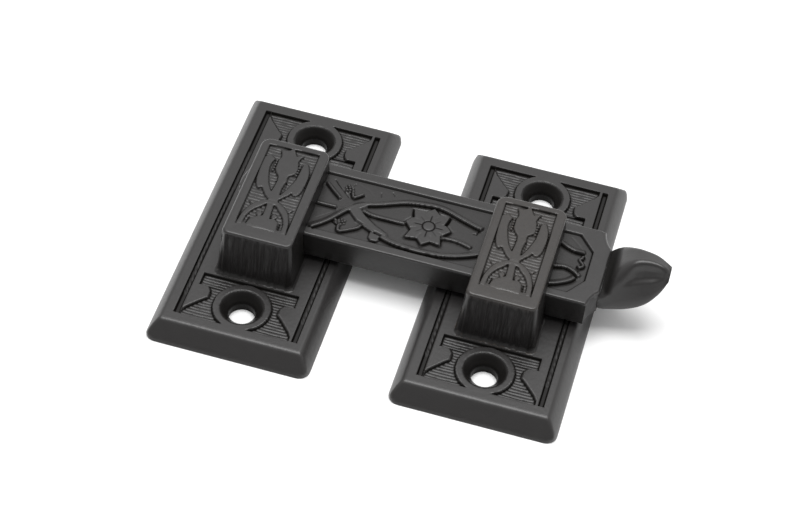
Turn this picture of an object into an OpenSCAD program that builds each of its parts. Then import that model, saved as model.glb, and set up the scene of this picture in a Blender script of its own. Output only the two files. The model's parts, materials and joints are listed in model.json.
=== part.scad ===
/* [Mounting plates] */
// Width of each mounting plate, across the gap
plate_w = 28.6; // [27:0.1:32]
// Length of each mounting plate
plate_l = 59.4; // [56:0.1:70]
// Thickness of each mounting plate
plate_t = 3.3; // [3:0.1:4.5]
// Width of the sloping edge along a plate's long sides
bevel_side = 2.05; // [1:0.05:3]
// Width of the sloping edge along a plate's short ends
bevel_end = 2.6; // [1.5:0.1:4]
// Height of the upright edge under the slopes
edge_land = 0.4; // [0.2:0.1:1]
// Radius of a plate's corners, seen from above
plate_corner_r = 2; // [0.5:0.1:4]
// Distance between the centres of the two plates
plate_pitch = 42.2; // [38:0.1:46]

/* [Screw holes] */
// Distance between the two screw holes in a plate
hole_pitch = 41.2; // [40:0.1:46]
// Diameter of a screw hole
hole_d = 4.5; // [3.5:0.1:5]
// Diameter of the countersink at the plate's face
sink_d = 7.4; // [6.5:0.1:9]
// Full angle of the countersink
sink_angle = 82; // [80:1:90]

/* [Hooks] */
// Width of a hook at its top
hook_w = 12.2; // [10:0.1:14]
// Extra width of a hook at its foot, on each side
hook_flare = 0.6; // [0.2:0.1:1.5]
// How far the hook's near face leans in from its foot to its top
hook_lean = 1; // [0.2:0.1:1.5]
// Distance from the plate's centre to the hook's near edge, at the top
hook_near = 13.7; // [13:0.1:15]
// Distance from the plate's centre to the hook's far edge
hook_far = 9.8; // [7:0.1:11]
// Thickness of the hook's arm over the bar
hook_arm_t = 3; // [2.6:0.1:4]
// Radius of the hook's upright corners
hook_corner_r = 1.8; // [0.5:0.1:3]

/* [Bar] */
// Width of the swinging bar
bar_w = 17.2; // [16:0.1:18]
// Thickness of the swinging bar
bar_t = 5.4; // [4.5:0.1:6.5]
// Length of the bar from the pivot to its square end
bar_reach = 56; // [52:0.5:60]
// Distance from the plate's centre line to the bar's centre line
bar_offset = 1.75; // [1:0.05:2.5]
// Gap between the plates and the bar, filled by the washer at the pivot
bar_lift = 1; // [0.6:0.1:1.5]
// Gap between the bar and the hooks around it
bar_clearance = 0.3; // [0.2:0.05:0.6]
// Length that a hollow corner takes from the bar's long edge
cove_back = 1.6; // [1:0.1:3]
// Length that a hollow corner takes from the bar's square end
cove_in = 3.5; // [2:0.1:4]
// Radius of the hollow corners at the bar's end
cove_r = 6; // [3:0.1:12]

/* [Thumb lever] */
// Half width of the neck between the bar and the lever
neck_half_w = 5; // [4:0.1:6]
// Height of the lever's crest above the underside of the bar
lever_rise = 10.4; // [9:0.1:12]
// Length of the lever past the bar's end
lever_len = 10.7; // [10:0.1:12]

/* [Pivot] */
// Distance from the pivot plate's centre to the pivot, along the bar
pivot_x = 1; // [0:0.1:2]
// Diameter of the screw's plain shoulder that the bar turns on
shoulder_d = 4; // [3.5:0.1:5]
// Radial clearance between the bar and the shoulder
pivot_clearance = 0.05; // [0.02:0.01:0.1]
// Diameter of the screw's threaded end
thread_d = 3; // [2.5:0.1:3.4]
// Diameter of the screw's countersunk head
head_d = 7.2; // [6.5:0.1:8]
// Outer diameter of the pivot washer
washer_d = 11; // [9:0.5:14]

/* [Hidden] */
$fn = 96;

bar_z = plate_t + bar_lift;
arm_z = bar_z + bar_t + bar_clearance;
hook_top = arm_z + hook_arm_t;
post_far = bar_offset - bar_w / 2 - bar_clearance;
sink_depth = (sink_d - hole_d) / 2 / tan(sink_angle / 2);
head_h = (head_d - shoulder_d) / 2;
thread_h = hook_arm_t * 2 / 3;
washer_play = 0.05;
cut = 1;
plate_metal = [0.2, 0.19, 0.185];
bar_metal = [0.23, 0.22, 0.215];

// A slab along X whose outline is drawn in Y and Z.
module along_x(length) {
  rotate([90, 0, 90])
    linear_extrude(length, center = true)
      children();
}

// A slab along Y whose outline is drawn in X and Z.
module along_y(length) {
  rotate([90, 0, 0])
    linear_extrude(length, center = true)
      children();
}

// A low trapezium: upright at the bottom, then sloping in to the top.
module bevelled_outline(width, bevel) {
  half = width / 2;
  polygon([
    [-half, 0],
    [half, 0],
    [half, edge_land],
    [half - bevel, plate_t],
    [bevel - half, plate_t],
    [-half, edge_land]
  ]);
}

// A rectangle with round corners, from its near edge to its far edge.
module rounded_plan(width, near, far, r) {
  translate([-width / 2, near + r])
    square([width, far - near - 2 * r]);
  translate([r - width / 2, near])
    square([width - 2 * r, far - near]);
  for (x = [r - width / 2, width / 2 - r])
    for (y = [near + r, far - r])
      translate([x, y])
        circle(r = r);
}

// The plate with its four sloping edges and round corners.
module plate_blank() {
  intersection() {
    along_x(plate_w)
      bevelled_outline(plate_l, bevel_end);
    along_y(plate_l)
      bevelled_outline(plate_w, bevel_side);
    linear_extrude(plate_t)
      rounded_plan(plate_w, -plate_l / 2, plate_l / 2, plate_corner_r);
  }
}

// A countersunk screw hole, to be cut from a plate.
module screw_hole() {
  translate([0, 0, -cut])
    cylinder(d = hole_d, h = plate_t + 2 * cut);
  translate([0, 0, plate_t - sink_depth])
    cylinder(d1 = hole_d, d2 = sink_d, h = sink_depth);
  translate([0, 0, plate_t])
    cylinder(d = sink_d, h = cut);
}

// Side view of a hook: a post that leans in slightly, and an arm over the bar.
module hook_side() {
  polygon([
    [-hook_near - hook_lean, plate_t / 2],
    [post_far, plate_t / 2],
    [post_far, arm_z],
    [hook_far, arm_z],
    [hook_far, hook_top],
    [-hook_near, hook_top],
    [-hook_near - hook_lean, plate_t]
  ]);
}

// Front view of a hook, wider at the foot than at the top.
module hook_front() {
  top = hook_w / 2;
  foot = top + hook_flare;
  polygon([
    [-foot, plate_t / 2],
    [foot, plate_t / 2],
    [foot, plate_t],
    [top, hook_top],
    [-top, hook_top],
    [-foot, plate_t]
  ]);
}

// The hook cast on each plate: post and arm in one.
module hook() {
  foot_w = hook_w + 2 * hook_flare;
  intersection() {
    along_x(foot_w)
      hook_side();
    along_y(plate_l)
      hook_front();
    linear_extrude(hook_top)
      rounded_plan(foot_w, -hook_near - hook_lean, hook_far, hook_corner_r);
  }
}

// One casting: plate and hook, with the two screw holes.
module hooked_plate() {
  difference() {
    union() {
      plate_blank();
      hook();
    }
    for (side = [-1, 1])
      translate([0, side * hole_pitch / 2, 0])
        screw_hole();
  }
}

// Plate that carries the pivot: the screw enters from the back and ends in the arm.
module pivot_plate() {
  color(plate_metal)
    difference() {
      hooked_plate();
      translate([pivot_x, bar_offset, -cut])
        cylinder(d = shoulder_d, h = plate_t + 2 * cut);
      translate([pivot_x, bar_offset, 0])
        cylinder(d1 = head_d, d2 = shoulder_d, h = head_h);
      translate([pivot_x, bar_offset, arm_z - cut])
        cylinder(d = thread_d, h = thread_h + cut);
    }
}

// Plate whose hook catches the free end of the bar.
module keeper_plate() {
  color(plate_metal)
    translate([plate_pitch, 0, 0])
      hooked_plate();
}

// Plan of the bar: one round end about the pivot, one square end with hollow corners.
module bar_plan() {
  half = bar_w / 2;
  chord = [cove_back, -cove_in];
  away = [cove_in, cove_back] / norm(chord);
  cove_at = [bar_reach, half - cove_in] - chord / 2
    + away * sqrt(cove_r ^ 2 - norm(chord) ^ 2 / 4);
  difference() {
    union() {
      circle(r = half);
      translate([0, -half])
        square([bar_reach, bar_w]);
    }
    for (side = [-1, 1])
      translate([cove_at.x, side * cove_at.y])
        circle(r = cove_r);
  }
}

// Lever stations, from the neck to the tip. Each holds the distance from the pivot,
// then four corners as distance across and height above the bar's underside:
// lower near, crest, upper far, lower far.
lever_root = bar_reach - 1.5;
lever_tip = bar_reach + lever_len;
crest = lever_rise;
stations = [
  [lever_root, [-neck_half_w, 0.1], [-neck_half_w, 3.8], [neck_half_w, 3.8], [neck_half_w, 0.1]],
  [bar_reach + 0.6, [-5.2, 0.1], [-5, 4], [5.5, 6], [5, 0.3]],
  [bar_reach + 2.2, [-5.1, 0.4], [-3.8, 6.1], [5.2, 7.5], [3.6, 0.5]],
  [bar_reach + 4.2, [-4.9, 1.2], [-1.7, crest - 1.2], [4.5, 8.8], [1.6, 0.9]],
  [bar_reach + 6.2, [-4.5, 2], [-0.7, crest], [3.8, 9.2], [0.2, 1.5]],
  [bar_reach + 8.1, [-3.8, 3.5], [-0.6, crest], [2.9, 9.2], [0.2, 2.8]],
  [bar_reach + 9.7, [-2.9, 5.5], [-0.7, crest - 0.3], [2, 9.3], [0.2, 4.8]],
  [lever_tip, [-1.5, 7.9], [-0.6, crest - 0.9], [0.7, 9.1], [0.1, 7.4]]
];

// Smooth curve through four neighbouring values, between the middle two.
function glide(a, b, c, d, t) =
  b + (c - a) * t / 2
  + (2 * a - 5 * b + 4 * c - d) * t * t / 2
  + (3 * b - a - 3 * c + d) * t * t * t / 2;
function station(i) = stations[max(0, min(len(stations) - 1, i))];
function between(i, t) = [
  for (k = [0 : 4])
    glide(station(i - 1)[k], station(i)[k], station(i + 1)[k], station(i + 2)[k], t)
];

// Round off one corner of a section, from its neighbours on each side.
corner_share = 0.26;
corner_steps = 3;
function rounded_corner(before, at, after) = [
  for (i = [0 : corner_steps])
    let (
      t = i / corner_steps,
      start = at + (before - at) * corner_share,
      end = at + (after - at) * corner_share
    )
    start * (1 - t) * (1 - t) + at * 2 * t * (1 - t) + end * t * t
];
function section(s) = [
  for (k = [0 : 3])
    for (q = rounded_corner(s[1 + (k + 3) % 4], s[1 + k], s[1 + (k + 1) % 4]))
      [s[0], q[0], q[1]]
];

// The thumb lever: sections joined into one solid.
module lever() {
  splits = 2;
  rings = [
    for (i = [0 : len(stations) - 2])
      for (j = [0 : splits - 1])
        section(between(i, j / splits)),
    section(station(len(stations) - 1))
  ];
  count = len(rings[0]);
  last = (len(rings) - 1) * count;
  points = [for (ring = rings) for (q = ring) q];
  sides = [
    for (r = [0 : len(rings) - 2])
      for (i = [0 : count - 1])
        let (
          a = r * count + i,
          b = r * count + (i + 1) % count
        )
        each [[a, b, a + count], [b, b + count, a + count]]
  ];
  near_cap = [[for (i = [count - 1 : -1 : 0]) i]];
  tip_cap = [[for (i = [0 : count - 1]) last + i]];
  polyhedron(points, concat(sides, near_cap, tip_cap));
}

// The swinging bar with its thumb lever, one casting.
module shutter_bar() {
  color(bar_metal)
    translate([pivot_x, bar_offset, bar_z])
      difference() {
        union() {
          linear_extrude(bar_t)
            bar_plan();
          lever();
        }
        translate([0, 0, -cut])
          cylinder(r = shoulder_d / 2 + pivot_clearance, h = bar_t + 2 * cut);
      }
}

// Shoulder screw put in from the back, which holds the bar and washer in the hook.
module pivot_screw() {
  slot_w = 1;
  slot_h = 0.8;
  color("dimgray")
    translate([pivot_x, bar_offset, 0])
      difference() {
        union() {
          cylinder(d1 = head_d, d2 = shoulder_d, h = head_h);
          cylinder(d = shoulder_d, h = arm_z);
          cylinder(d = thread_d, h = arm_z + thread_h);
        }
        translate([-head_d / 2 - cut, -slot_w / 2, -cut])
          cube([head_d + 2 * cut, slot_w, slot_h + cut]);
      }
}

// Washer that keeps the bar off the plate.
module pivot_washer() {
  color("goldenrod")
    translate([pivot_x, bar_offset, plate_t])
      difference() {
        cylinder(d = washer_d, h = bar_lift - washer_play);
        translate([0, 0, -cut])
          cylinder(r = shoulder_d / 2 + pivot_clearance, h = bar_lift + 2 * cut);
      }
}

pivot_plate();
keeper_plate();
shutter_bar();
pivot_screw();
pivot_washer();
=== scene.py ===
"""A cast shutter-bar latch: two hooked plates and a swinging bar with relief ornament.

Lengths are in millimetres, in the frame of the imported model, until a mesh is made.
"""

import json
import math

import bpy
import numpy as np
from mathutils import Matrix, Vector


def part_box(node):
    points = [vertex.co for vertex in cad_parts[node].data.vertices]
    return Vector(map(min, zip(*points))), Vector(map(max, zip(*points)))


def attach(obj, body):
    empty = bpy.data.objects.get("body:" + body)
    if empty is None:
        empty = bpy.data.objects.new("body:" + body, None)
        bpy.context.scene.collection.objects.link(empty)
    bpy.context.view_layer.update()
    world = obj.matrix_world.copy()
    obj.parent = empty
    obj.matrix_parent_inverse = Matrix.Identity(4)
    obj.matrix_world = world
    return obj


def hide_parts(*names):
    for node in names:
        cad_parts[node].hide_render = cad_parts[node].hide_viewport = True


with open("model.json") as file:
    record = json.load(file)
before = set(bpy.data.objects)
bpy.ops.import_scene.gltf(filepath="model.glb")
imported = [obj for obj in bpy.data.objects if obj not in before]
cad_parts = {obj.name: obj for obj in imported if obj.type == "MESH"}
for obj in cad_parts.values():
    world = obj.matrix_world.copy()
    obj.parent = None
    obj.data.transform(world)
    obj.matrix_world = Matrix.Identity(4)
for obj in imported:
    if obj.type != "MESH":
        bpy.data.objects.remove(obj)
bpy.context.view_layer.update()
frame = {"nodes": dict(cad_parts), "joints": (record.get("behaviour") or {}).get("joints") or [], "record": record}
MM = 0.001

# ---- dimensions

PLATE_LO, PLATE_HI = [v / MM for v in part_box("pivot_plate")]
KEEPER_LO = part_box("keeper_plate")[0] / MM
BAR_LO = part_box("shutter_bar")[0] / MM
PIVOT = [v / MM for v in frame["joints"][0]["pos_m"]]
SCREWS = frame["record"]["mounts"][0]["dims"]

PLATE_HALF_W = (PLATE_HI.x - PLATE_LO.x) / 2
PLATE_HALF_L = (PLATE_HI.y - PLATE_LO.y) / 2
PLATE_T = 3.3
PITCH = KEEPER_LO.x - PLATE_LO.x
EDGE_LAND = 0.4
BEVEL_SIDE = 2.05
BEVEL_END = 2.6
PLATE_CORNER_R = 2.0
RIM_R = 0.36
HOLE_Y = SCREWS["spacing_y_mm"] / 2
HOLE_R = SCREWS["hole_r_mm"]
SINK_R = 3.7
SINK_SLOPE = math.tan(math.radians(41))
COLLAR_R = 5.05
FIELD_END = PLATE_HALF_L - BEVEL_END - 2.05

GROOVE_X = (-10.08, 10.52)
GROOVE_HALF_W = 0.45
GROOVE_END = FIELD_END - 0.05
ROPE_TWIST = 1.5

HOOK_TOP = PLATE_HI.z
HOOK_HALF_W = 6.1
HOOK_FLARE = 0.6
HOOK_LEAN = 1.0
HOOK_NEAR = 13.7
HOOK_FAR = 9.8
HOOK_CORNER_FAR = 1.8
HOOK_CORNER_NEAR = 1.1
ARM_Z = HOOK_TOP - 3.0
POST_FAR = -7.15
FOOT_FILLET = 0.4
SLOT_FILLET = 0.3
SEAT_R = 3.62
SHANK_R = 2.0
TAPPED_R = 1.5

BAR_HALF_W = 8.6
BAR_T = 5.4
BAR_REACH = 56.0
BAR_Z = BAR_LO.z
BAR_TOP = BAR_Z + BAR_T
BAR_MIDDLE = 25.1
FLOWER_AT = (25.0, -0.2)
BUTTON_R = 0.92
COVE_BACK = 1.6
COVE_IN = 3.5
COVE_R = 6.0
BORE_R = 2.05
NECK_HALF_W = 5.0
CREST = 10.322
LEVER_TIP = BAR_REACH + 10.7

RELIEF = 0.5
PANEL_RELIEF = 0.32
SOFT_EDGE = 0.34
BROAD_EDGE = 0.6
HOLLOW_REACH = 0.26
CROWN_REACH = 0.6
PLATE_HATCH = 0.6
PANEL_HATCH = 0.66

# ---- looks

FACE = (0.0235, 0.0222, 0.022)
# The dark tone of painted shade, and of grime in the hollows.
SHADE_AND_GRIME_TONE = (0.006, 0.0055, 0.005)
WORN = (0.07, 0.066, 0.064)
WARM = (0.052, 0.041, 0.032)
STEEL = ((0.33, 0.32, 0.31), (0.16, 0.15, 0.14))
BRASS = ((0.5, 0.38, 0.18), (0.22, 0.15, 0.08))
PAPER = ((0.9, 0.9, 0.9), (0.94, 0.94, 0.94))
KEEPER_RUB = 0.33
SHINE = 0.5

WORLD_FRONT = 0.36
WORLD_BACK = 0.95
LAMP_POWER = 3.0
LAMP_SIZE = (420, 340)
LAMP_AT = Vector((0, 60, 550))
LAMP_AIM = Vector((20, 0, 0))

CAMERA_AT = Vector((73.302, -246.456, 286.403))
CAMERA_RIGHT = Vector((0.960456, 0.271884, 0.060026))
CAMERA_BACK = Vector((0.135941, -0.646046, 0.751096))
CAMERA_LENS = 99.72

# ---- line geometry


def glide(points, steps=8):
    """A smooth line through a few points."""
    p = np.array([points[0], *points, points[-1]], float)
    out = []
    for i in range(1, len(p) - 2):
        a, b, c, d = p[i - 1 : i + 3]
        for t in np.arange(steps) / steps:
            turn = (c - a) * t + (2 * a - 5 * b + 4 * c - d) * t**2
            out.append(b + 0.5 * (turn + (3 * b - a - 3 * c + d) * t**3))
    out.append(p[-2])
    return np.array(out)


def mirrored(points, about):
    """The same points on the other side of a line across the first axis."""
    return [(2 * about - a, b) for a, b in points]


def sided(points, side):
    """A left-hand shape on its own side (-1) or on the right (1)."""
    return [(a * -side, b) for a, b in points]


def nearest(x, y, line):
    """Distance to a line of points, and the side: positive on its left."""
    best = np.full(x.shape, 1e9)
    side = np.zeros(x.shape)
    for (ax, ay), (bx, by) in zip(line[:-1], line[1:]):
        dx, dy = bx - ax, by - ay
        length2 = max(dx * dx + dy * dy, 1e-12)
        t = np.clip(((x - ax) * dx + (y - ay) * dy) / length2, 0, 1)
        gap = np.hypot(x - ax - t * dx, y - ay - t * dy)
        closer = gap < best
        best = np.where(closer, gap, best)
        side = np.where(closer, np.sign(dx * (y - ay) - dy * (x - ax)), side)
    return best, side


def inside(x, y, ring):
    """True inside a closed ring of points."""
    result = np.zeros(x.shape, bool)
    for (ax, ay), (bx, by) in zip(ring, np.roll(ring, -1, axis=0)):
        if ay == by:
            continue
        crosses = (ay > y) != (by > y)
        result ^= crosses & (x < (bx - ax) * (y - ay) / (by - ay) + ax)
    return result


def step(t):
    """A soft step from 0 to 1 as t goes from 0 to 1."""
    t = np.clip(t, 0, 1)
    return t * t * (3 - 2 * t)


def waver(x, y):
    """A gentle unevenness, between about -1 and 1."""
    first = np.sin(1.7 * x + 0.3 * y) + np.sin(0.9 * y - 1.3 * x + 2)
    return (first + np.sin(2.3 * y + 0.7 * x + 4)) / 3


def grain(x, y):
    """A trace of roughness that keeps flat metal from being one polished face."""
    return 0.0005 * np.sin(x * 41.3 + 2) * np.sin(y * 37.7)


class Relief:
    """Heights over a surface, worked on shape by shape. Zero is the flat face."""

    def __init__(self, x, y):
        self.x, self.y = x, y
        self.h = np.zeros(x.shape)

    def near(self, line, margin):
        """The points close enough to a line to be touched by it."""
        line = np.asarray(line, float)
        lo, hi = line.min(0) - margin, line.max(0) + margin
        across = (self.x > lo[0]) & (self.x < hi[0])
        return across & (self.y > lo[1]) & (self.y < hi[1])

    def depth(self, ring, here):
        """How far points are inside a ring: negative outside."""
        closed = np.vstack([ring, ring[:1]])
        gap, _ = nearest(self.x[here], self.y[here], closed)
        return np.where(inside(self.x[here], self.y[here], ring), gap, -gap)

    def level(self, ring, height, soft, crown=0.0):
        """Brings the area inside a ring to one height, with soft walls."""
        ring = np.asarray(ring, float)
        here = self.near(ring, 0.6)
        d = self.depth(ring, here)
        w = step(d / soft / 2 + 0.5)
        target = height - crown * (1 - np.clip(d / CROWN_REACH, 0, 1)) ** 2
        self.h[here] = self.h[here] * (1 - w) + target * w

    def ribs(self, ring, pitch, height):
        """Fine narrow cuts along the first axis inside a ring."""
        ring = np.asarray(ring, float)
        here = self.near(ring, 0.2)
        w = step(self.depth(ring, here) / 0.25)
        x, y = self.x[here], self.y[here]
        phase = y / pitch + 0.12 * waver(x * 0.7, y * 2.1)
        from_cut = np.abs(phase - np.floor(phase) - 0.5)
        cut = np.clip(1 - from_cut / 0.24, 0, 1)
        patchy = 0.75 + 0.4 * waver(x * 1.9 + 3, y * 2.3)
        self.h[here] -= w * height * cut * np.clip(patchy, 0.15, 1.1)

    def groove(self, line, width, depth):
        """Cuts a soft groove along a line."""
        here = self.near(line, width)
        gap, _ = nearest(self.x[here], self.y[here], line)
        self.h[here] -= depth * (1 - step(gap / (width / 2)))

    def lip(self, line, height, floor, back, drop=0.5):
        """A leaf's edge: high on the line's left, with a steep drop to its right."""
        line = np.asarray(line, float)
        here = self.near(line, back + 0.4)
        x, y = self.x[here], self.y[here]
        gap, side = nearest(x, y, line)
        t = np.where(side >= 0, gap, -gap)
        base = self.h[here]
        crest = height + (base - height) * step((t - 0.3) / (back - 0.3))
        foot = floor + (base - floor) * step((-t - 0.15) / drop)
        wall = step((t + 0.13) / 0.26)
        shaped = foot * (1 - wall) + crest * wall
        keep = np.ones(x.shape)
        for end, before in ((line[0], line[1]), (line[-1], line[-2])):
            away = (end - before) / np.linalg.norm(end - before)
            past = (x - end[0]) * away[0] + (y - end[1]) * away[1]
            from_end = np.hypot(x - end[0], y - end[1])
            keep = np.where(from_end < gap + 1e-6, keep * (1 - step(past / 0.4)), keep)
        keep = np.where((t < back) & (t > -drop - 0.15), keep, 0)
        self.h[here] = base * (1 - keep) + shaped * keep

    def dome(self, centre, radius, height):
        """A round bead at one point."""
        here = self.near([centre], radius)
        gap = np.hypot(self.x[here] - centre[0], self.y[here] - centre[1])
        ground = np.min(self.h[here])
        cap = ground + height * np.sqrt(np.clip(1 - (gap / radius) ** 2, 0, 1))
        self.h[here] = np.where(gap < radius, np.maximum(self.h[here], cap), self.h[here])


class HollowShade:
    """Painted shade, with some grime, over a relief: darkest in low spots and on steep walls, where shade falls.
    """

    def __init__(self, height, low, high, pitch=0.1):
        xs = np.arange(low[0], high[0] + pitch, pitch)
        ys = np.arange(low[1], high[1] + pitch, pitch)
        self.low, self.pitch = low, pitch
        h = height(*np.meshgrid(xs, ys))
        rise, run = np.gradient(h, pitch)
        steep = np.clip(np.hypot(rise, run) - 0.5, 0, 1.3)
        self.below = 4 * (blurred(h, HOLLOW_REACH / pitch) - h) + 0.55 * steep

    def at(self, x, y):
        """The depth at any points, from the four nearest spots."""
        rows, columns = self.below.shape
        i = np.clip((x - self.low[0]) / self.pitch, 0, columns - 1.001)
        j = np.clip((y - self.low[1]) / self.pitch, 0, rows - 1.001)
        i0, j0 = i.astype(int), j.astype(int)
        s, t = i - i0, j - j0
        lower = self.below[j0, i0] * (1 - s) + self.below[j0, i0 + 1] * s
        upper = self.below[j0 + 1, i0] * (1 - s) + self.below[j0 + 1, i0 + 1] * s
        return lower * (1 - t) + upper * t


def blurred(h, reach):
    """Heights smoothed over a few grid steps each way."""
    half = int(3 * reach)
    weights = np.exp(-((np.arange(-half, half + 1) / reach) ** 2) / 2)
    weights /= weights.sum()
    for axis in (0, 1):
        wide = np.pad(h, [(half, half) if a == axis else (0, 0) for a in (0, 1)], "edge")
        size = h.shape[axis]
        parts = [np.take(wide, range(k, k + size), axis) for k in range(2 * half + 1)]
        h = sum(w * part for w, part in zip(weights, parts))
    return h


# ---- meshes


def make(name, points, faces):
    """A mesh object from points in millimetres."""
    mesh = bpy.data.meshes.new(name)
    mesh.from_pydata((np.asarray(points, float) * MM).tolist(), [], faces)
    mesh.update()
    obj = bpy.data.objects.new(name, mesh)
    bpy.context.scene.collection.objects.link(obj)
    return obj


def spans(*parts):
    """Grid lines over joined spans, each from, to and with about a spacing."""
    out = []
    for start, end, spacing in parts:
        count = max(1, round((end - start) / spacing))
        out += list(np.linspace(start, end, count, endpoint=False))
    return np.array(out + [parts[-1][1]])


def mirrored_spans(outer, zones, inner):
    """Grid lines from -outer to outer: each zone is where it stops and its spacing."""
    parts, edge = [], outer
    for stop, spacing in zones:
        parts.append((edge, stop, spacing))
        edge = stop
    low = [(-a, -b, c) for a, b, c in parts]
    high = [(b, a, c) for a, b, c in parts[::-1]]
    return spans(*low, (-edge, edge, inner), *high)


def grid_faces(columns, rows):
    """Quads of a grid whose points run along each row in turn."""
    i, j = np.meshgrid(np.arange(columns - 1), np.arange(rows - 1))
    a = (j * columns + i).ravel()
    return np.stack([a, a + 1, a + columns + 1, a + columns], 1).tolist()


def rim_indices(columns, rows):
    """The border of a grid, counter-clockwise."""
    low = list(range(columns))
    right = [j * columns + columns - 1 for j in range(1, rows)]
    high = [(rows - 1) * columns + i for i in range(columns - 2, -1, -1)]
    left = [j * columns for j in range(rows - 2, 0, -1)]
    return low + right + high + left


def ring_faces(upper, lower):
    """Quads between two loops of the same length, counter-clockwise seen from above."""
    after = zip(lower[1:] + lower[:1], upper[1:] + upper[:1])
    return [[a, b, c, d] for a, b, (c, d) in zip(upper, lower, after)]


def slab(name, xs, ys, height, base):
    """A closed block with a relief top."""
    x, y = np.meshgrid(xs, ys)
    top = np.stack([x, y, height(x, y)], -1).reshape(-1, 3)
    rim = rim_indices(len(xs), len(ys))
    foot = top[rim].copy()
    foot[:, 2] = base
    lower = list(range(len(top), len(top) + len(rim)))
    faces = grid_faces(len(xs), len(ys)) + ring_faces(rim, lower) + [lower[::-1]]
    return make(name, np.vstack([top, foot]), faces)


def stack(name, loops):
    """A closed solid through loops of the same count, from the top one down."""
    count = len(loops[0])
    rows = [list(range(k * count, (k + 1) * count)) for k in range(len(loops))]
    faces = [rows[0]]
    for upper, lower in zip(rows[:-1], rows[1:]):
        faces += ring_faces(upper, lower)
    return make(name, np.vstack(loops), [*faces, rows[-1][::-1]])


def at_height(outline, z, inset=0.0):
    """A plan outline at a height, drawn in by an inset."""
    outline = np.asarray(outline, float)
    ahead = np.roll(outline, -1, axis=0) - np.roll(outline, 1, axis=0)
    inward = np.stack([-ahead[:, 1], ahead[:, 0]], 1)
    inward /= np.linalg.norm(inward, axis=1)[:, None]
    flat = outline + inward * inset
    return np.column_stack([flat, np.full(len(flat), z)])


def turned(name, profile, centre=(0.0, 0.0), count=96, splits=6):
    """A turned solid: radius and height pairs from the top down."""
    angle = np.arange(count) * 2 * np.pi / count
    circle = np.stack([np.cos(angle), np.sin(angle)], 1)
    rings = []
    for (r0, z0), (r1, z1) in zip(profile[:-1], profile[1:]):
        for t in np.arange(splits) / splits:
            rings.append((r0 + (r1 - r0) * t, z0 + (z1 - z0) * t))
    rings.append(profile[-1])
    return stack(name, [at_height(circle * r + centre, z) for r, z in rings])


def combine(obj, tool, operation):
    """Joins, cuts or keeps the overlap of two closed solids, and removes the tool."""
    change = obj.modifiers.new("combine", "BOOLEAN")
    change.operation = operation
    change.solver = "MANIFOLD"
    change.object = tool
    graph = bpy.context.evaluated_depsgraph_get()
    made = bpy.data.meshes.new_from_object(obj.evaluated_get(graph))
    obj.modifiers.clear()
    old = obj.data
    obj.data = made
    bpy.data.meshes.remove(old)
    bpy.data.objects.remove(tool)
    return obj


def coordinates(obj):
    """The mesh's points in millimetres."""
    flat = np.zeros(len(obj.data.vertices) * 3, np.float32)
    obj.data.vertices.foreach_get("co", flat)
    return flat.reshape(-1, 3).astype(float) / MM


def give(obj, name, values):
    """Stores one value for each point, for the materials to read."""
    layer = obj.data.attributes.new(name, "FLOAT", "POINT")
    layer.data.foreach_set("value", np.asarray(values, np.float32))


def finish_piece(obj, name, body, replaced, material):
    """Smooth shading with crisp edges, a name, material and body, and hides the CAD part it replaces."""
    obj.name = name
    obj.data.name = name
    obj.data.materials.clear()
    obj.data.materials.append(material)
    obj.data.shade_smooth()
    obj.data.set_sharp_from_angle(angle=math.radians(52))
    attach(obj, body)
    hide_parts(replaced)


# ---- plate castings


def bow_tie():
    """One side of the sunk field around a screw hole, from the plate's middle out."""
    ring = [(-1, 15.35), (8.4, 15.35), (8.4, 17.9), (6.7, 17.95), (6.25, 18.5)]
    ring += [(6.05, 19.3), (6.05, 20.2), (7, 21.1), (8, 22.2), (8.9, 23.2)]
    return ring + [(9.5, 24.2), (9.5, FIELD_END), (-1, FIELD_END)]


def side_groove(r):
    """The long groove on each side: open at its ends, with a rope between them."""
    for centre in GROOVE_X:
        low, high = centre - GROOVE_HALF_W, centre + GROOVE_HALF_W
        ring = [(low, -GROOVE_END), (high, -GROOVE_END)]
        ring += [(high, GROOVE_END), (low, GROOVE_END)]
        r.level(ring, -RELIEF - 0.1, 0.1)
        across = (r.x - centre) / (GROOVE_HALF_W - 0.03)
        middle = step((r.y + 20.6) / 1.2) * step((15.2 - r.y) / 1.2)
        strand = 0.5 + 0.5 * np.cos(2 * np.pi * (r.y / ROPE_TWIST + across * 0.35))
        strand = strand * (0.75 + 0.45 * waver(r.x, r.y * 1.3))
        bulge = step((r.y + 15) / 3) * step((6.5 - r.y) / 3)
        rope = -0.46 + (0.14 + 0.2 * bulge) * np.sqrt(np.clip(1 - across**2, 0, 1))
        rope += 0.13 * strand * np.clip(1 - across**2, 0, 1)
        rope = rope * middle - (RELIEF + 0.1) * (1 - middle)
        r.h = np.where(np.abs(across) < 1, np.maximum(r.h, rope), r.h)


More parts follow.
